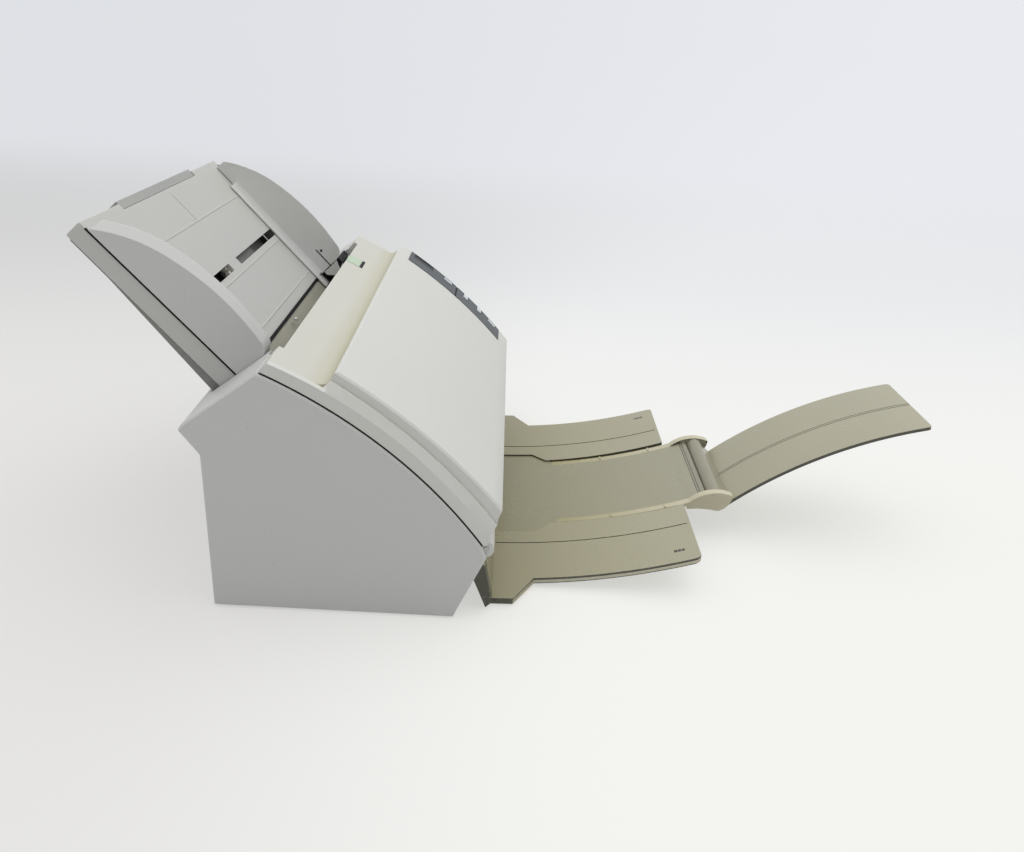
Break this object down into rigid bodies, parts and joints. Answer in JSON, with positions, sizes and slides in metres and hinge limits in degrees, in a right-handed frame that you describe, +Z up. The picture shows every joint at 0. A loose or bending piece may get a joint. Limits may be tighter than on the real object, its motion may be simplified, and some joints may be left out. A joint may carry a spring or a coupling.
{
  "type": "document scanner",
  "caption": "Desktop sheet-fed document scanner with forward-opening feeder cover, paper chute with side guides, operator strip, and bowed stacker with extension and fold-out flap.",
  "frame": {"origin": "middle of the underside of the body, on the desk", "axes": "+X to the operator-panel side, -Y to the front where sheets come out, +Y to the rear, +Z up"},
  "size_m": [0.301, 0.5069, 0.2063],
  "materials": {
    "casing_plastic": "fine textured moulding, cool light grey",
    "cover_plastic": "fine textured moulding, warm off-white grey",
    "chute_plastic": "fine textured moulding, light grey",
    "stacker_plastic": "smoky translucent moulding",
    "panel_plastic": "satin dark grey",
    "button_plastic": "satin light grey keys",
    "display_plastic": "polished black window",
    "inner_plastic": "satin black",
    "marker_plastic": "pale green",
    "clear_glass": "polished scan glass",
    "plated_steel": "zinc plated",
    "gear_nylon": "natural nylon",
    "pinion_brass": "machined brass",
    "roller_rubber": "matt rubber",
    "board_laminate": "solder mask"
  },
  "bodies": {
    "body": {"lower_casing": "casing_plastic", "bottom_plate": "casing_plastic", "case_screws": "plated_steel", "rubber_feet": "roller_rubber", "rear_cover": "casing_plastic", "main_board": "board_laminate", "dc_jack": "inner_plastic", "usb_port": "plated_steel", "entry_guide": "chute_plastic", "lower_guide_plate": "inner_plastic", "lower_glass": "clear_glass", "lower_optical_unit": "inner_plastic", "drive_frame_left": "plated_steel", "drive_frame_right": "plated_steel", "shaft_bushes": "gear_nylon", "gear_studs": "plated_steel", "drive_motor": "plated_steel", "drive_belt": "roller_rubber", "cover_hinge_pins": "plated_steel", "paper_chute": "chute_plastic", "chute_rear_lid": "chute_plastic"},
    "cover": {"adf_cover_shell": "cover_plastic", "adf_top_panel": "cover_plastic", "operator_panel": "panel_plastic", "display_window": "display_plastic", "adf_inner_guide": "inner_plastic", "upper_glass": "clear_glass", "upper_optical_unit": "inner_plastic", "lever_marker": "marker_plastic", "marker_tip": "inner_plastic", "lever_pin": "plated_steel"},
    "release_lever": {"release_lever": "inner_plastic"},
    "brake_roller": {"brake_roller": "roller_rubber"},
    "feed_pinch_rollers": {"feed_pinch_rollers": "roller_rubber"},
    "eject_pinch_rollers": {"eject_pinch_rollers": "roller_rubber"},
    "function_button": {"function_button": "button_plastic"},
    "send_button": {"send_button": "button_plastic"},
    "scan_button": {"scan_button": "button_plastic"},
    "power_button": {"power_button": "button_plastic"},
    "pick_roller": {"pick_shaft": "plated_steel", "pick_rubbers": "roller_rubber"},
    "feed_roller": {"feed_shaft": "plated_steel", "feed_rubbers": "roller_rubber"},
    "eject_roller": {"eject_shaft": "plated_steel", "eject_rubbers": "roller_rubber"},
    "reduction_gear": {"reduction_gear": "gear_nylon"},
    "idler_gear": {"idler_gear": "gear_nylon"},
    "motor_pinion": {"motor_pinion": "pinion_brass"},
    "side_guide_left": {"side_guide_left": "chute_plastic"},
    "side_guide_right": {"side_guide_right": "chute_plastic"},
    "guide_pinion": {"guide_pinion": "gear_nylon"},
    "chute_extension": {"chute_extension": "chute_plastic"},
    "stacker": {"stacker_tray": "stacker_plastic"},
    "stacker_extension": {"stacker_extension": "stacker_plastic", "flap_pin": "plated_steel"},
    "stacker_flap": {"stacker_flap": "stacker_plastic"}
  },
  "joints": [
    {"name": "cover_hinge", "type": "hinge", "parent": "body", "child": "cover", "pos_m": [0, -0.08, 0.0445], "axis": [1, 0, 0], "range_deg": [0, 75]},
    {"name": "release_lever_hinge", "type": "hinge", "parent": "cover", "child": "release_lever", "pos_m": [0.081, 0.0308, 0.1276], "axis": [-1, 0, 0], "range_deg": [0, 10], "stiffness_Nm_per_rad": 0.02, "springref_deg": -11.46},
    {"name": "brake_roller_spin", "type": "hinge", "parent": "cover", "child": "brake_roller", "pos_m": [0, 0.01816, 0.10144], "axis": [1, 0, 0], "continuous": true},
    {"name": "feed_pinch_spin", "type": "hinge", "parent": "cover", "child": "feed_pinch_rollers", "pos_m": [0, -0.00028, 0.08529], "axis": [1, 0, 0], "continuous": true},
    {"name": "eject_pinch_spin", "type": "hinge", "parent": "cover", "child": "eject_pinch_rollers", "pos_m": [0, -0.05647, 0.05909], "axis": [1, 0, 0], "continuous": true},
    {"name": "function_button_press", "type": "slide", "parent": "cover", "child": "function_button", "axis": [0, 0.621, -0.7838], "range_m": [0, 0.0006], "stiffness_N_per_m": 400, "springref_m": -0.0004},
    {"name": "send_button_press", "type": "slide", "parent": "cover", "child": "send_button", "axis": [0, 0.6635, -0.7482], "range_m": [0, 0.0006], "stiffness_N_per_m": 400, "springref_m": -0.0004},
    {"name": "scan_button_press", "type": "slide", "parent": "cover", "child": "scan_button", "axis": [0, 0.6954, -0.7186], "range_m": [0, 0.0006], "stiffness_N_per_m": 400, "springref_m": -0.0004},
    {"name": "power_button_press", "type": "slide", "parent": "cover", "child": "power_button", "axis": [0, 0.726, -0.6877], "range_m": [0, 0.0006], "stiffness_N_per_m": 400, "springref_m": -0.0004},
    {"name": "feed_roller_spin", "type": "hinge", "parent": "body", "child": "feed_roller", "pos_m": [0, 0.00774, 0.07226], "axis": [1, 0, 0], "continuous": true},
    {"name": "pick_roller_spin", "type": "hinge", "parent": "body", "child": "pick_roller", "pos_m": [0, 0.03032, 0.08519], "axis": [1, 0, 0], "continuous": true},
    {"name": "eject_roller_spin", "type": "hinge", "parent": "body", "child": "eject_roller", "pos_m": [0, -0.05164, 0.04457], "axis": [1, 0, 0], "continuous": true},
    {"name": "reduction_gear_spin", "type": "hinge", "parent": "body", "child": "reduction_gear", "pos_m": [0, 0.01366, 0.04285], "axis": [1, 0, 0], "continuous": true},
    {"name": "idler_gear_spin", "type": "hinge", "parent": "body", "child": "idler_gear", "pos_m": [0, 0.0109, 0.08998], "axis": [1, 0, 0], "continuous": true},
    {"name": "motor_pinion_spin", "type": "hinge", "parent": "body", "child": "motor_pinion", "pos_m": [0, 0.035, 0.028], "axis": [1, 0, 0], "continuous": true},
    {"name": "side_guide_left_slide", "type": "slide", "parent": "body", "child": "side_guide_left", "axis": [1, 0, 0], "range_m": [0, 0.08]},
    {"name": "side_guide_right_slide", "type": "slide", "parent": "body", "child": "side_guide_right", "axis": [-1, 0, 0], "range_m": [0, 0.08]},
    {"name": "guide_pinion_spin", "type": "hinge", "parent": "body", "child": "guide_pinion", "pos_m": [0, 0.08997, 0.15824], "axis": [0, -0.7251, 0.6886], "range_deg": [0, 460]},
    {"name": "chute_extension_slide", "type": "slide", "parent": "body", "child": "chute_extension", "axis": [0, 0.6886, 0.7251], "range_m": [0, 0.08]},
    {"name": "stacker_hinge", "type": "hinge", "parent": "body", "child": "stacker", "pos_m": [0, -0.0735, 0.031], "axis": [-1, 0, 0], "range_deg": [0, 35]},
    {"name": "stacker_extension_draw", "type": "hinge", "parent": "stacker", "child": "stacker_extension", "pos_m": [0, -0.078, 0.404], "axis": [-1, 0, 0], "range_deg": [0, 10]},
    {"name": "stacker_flap_hinge", "type": "hinge", "parent": "stacker_extension", "child": "stacker_flap", "pos_m": [0, -0.231, 0.029], "axis": [-1, 0, 0], "range_deg": [0, 158]}
  ],
  "couplings": [
    {"joint": "pick_roller_spin", "follows": "feed_roller_spin", "ratio": 0.83333},
    {"joint": "eject_roller_spin", "follows": "feed_roller_spin", "ratio": 1},
    {"joint": "reduction_gear_spin", "follows": "feed_roller_spin", "ratio": -0.5},
    {"joint": "idler_gear_spin", "follows": "feed_roller_spin", "ratio": -1.25},
    {"joint": "motor_pinion_spin", "follows": "feed_roller_spin", "ratio": 1.6667},
    {"joint": "feed_pinch_spin", "follows": "feed_roller_spin", "ratio": -1.5},
    {"joint": "eject_pinch_spin", "follows": "feed_roller_spin", "ratio": -1.5},
    {"joint": "brake_roller_spin", "follows": "feed_roller_spin", "ratio": -1.0185},
    {"joint": "side_guide_right_slide", "follows": "side_guide_left_slide", "ratio": 1},
    {"joint": "guide_pinion_spin", "follows": "side_guide_left_slide", "rad_per_m": 100}
  ]
}
